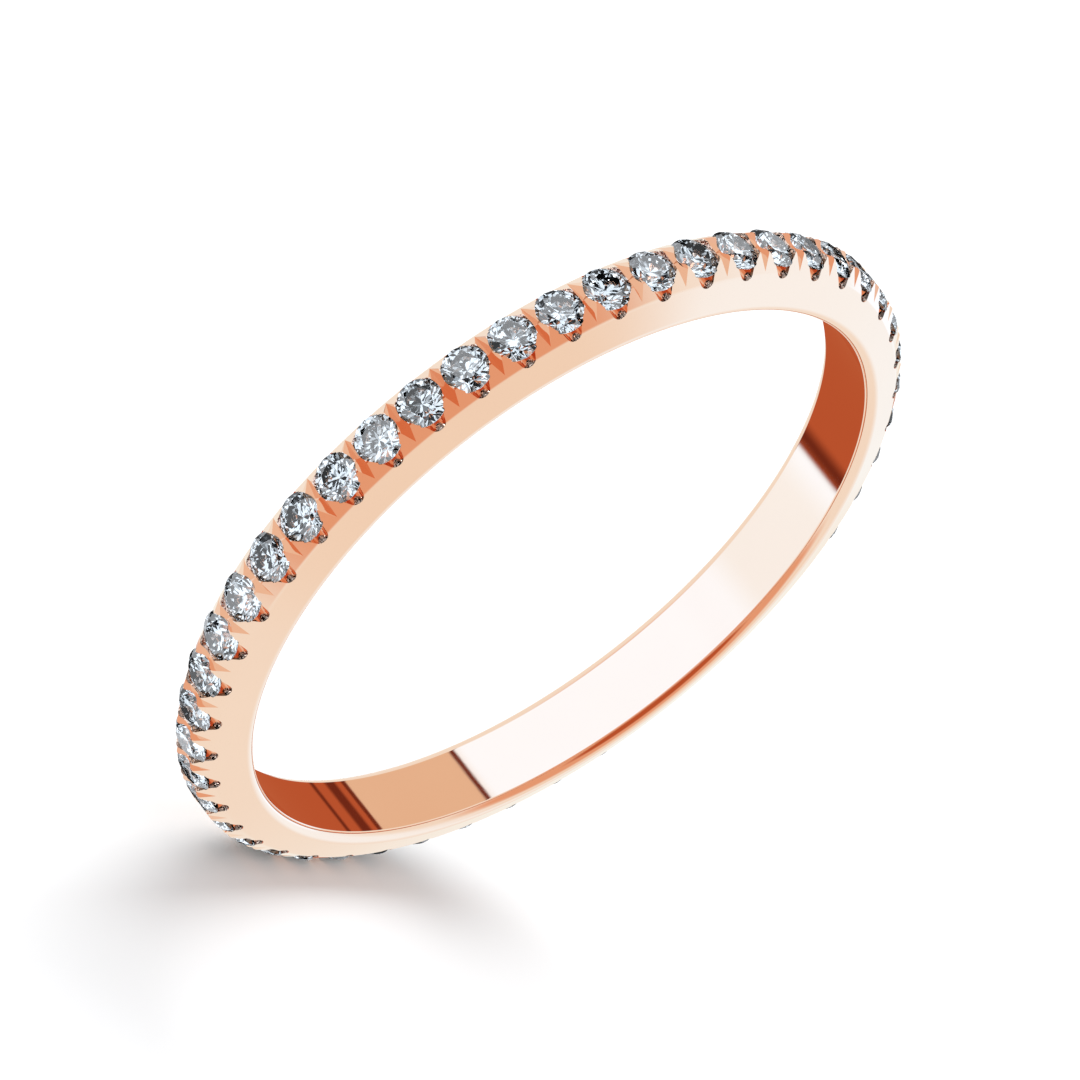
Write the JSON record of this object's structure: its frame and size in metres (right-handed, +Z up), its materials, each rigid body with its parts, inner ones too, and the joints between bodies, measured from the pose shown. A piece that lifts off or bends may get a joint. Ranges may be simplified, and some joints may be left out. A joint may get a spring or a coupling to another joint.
{
  "type": "wedding band",
  "caption": "Slim polished rose gold ring with one row of small round brilliants in scalloped, fishtail-cut shared-prong seats, left plain over a short length for sizing.",
  "frame": {"origin": "centre of the finger bore, on its axis, midway between the two sides", "axes": "+Y along the finger axis; +Z up with the ring standing on its edge; +X close to the middle of the plain length, which lies 16 degrees below it"},
  "size_m": [0.0196, 0.002, 0.0196],
  "materials": {
    "rose_gold": null,
    "diamond": null
  },
  "bodies": {
    "root": {"band": "rose_gold", "diamond_01": "diamond", "diamond_02": "diamond", "diamond_03": "diamond", "diamond_04": "diamond", "diamond_05": "diamond", "diamond_06": "diamond", "diamond_07": "diamond", "diamond_08": "diamond", "diamond_09": "diamond", "diamond_10": "diamond", "diamond_11": "diamond", "diamond_12": "diamond", "diamond_13": "diamond", "diamond_14": "diamond", "diamond_15": "diamond", "diamond_16": "diamond", "diamond_17": "diamond", "diamond_18": "diamond", "diamond_19": "diamond", "diamond_20": "diamond", "diamond_21": "diamond", "diamond_22": "diamond", "diamond_23": "diamond", "diamond_24": "diamond", "diamond_25": "diamond", "diamond_26": "diamond", "diamond_27": "diamond", "diamond_28": "diamond", "diamond_29": "diamond", "diamond_30": "diamond", "diamond_31": "diamond", "diamond_32": "diamond", "diamond_33": "diamond", "diamond_34": "diamond", "diamond_35": "diamond", "diamond_36": "diamond", "diamond_37": "diamond", "diamond_38": "diamond", "diamond_39": "diamond", "diamond_40": "diamond", "diamond_41": "diamond", "diamond_42": "diamond"}
  },
  "joints": []
}
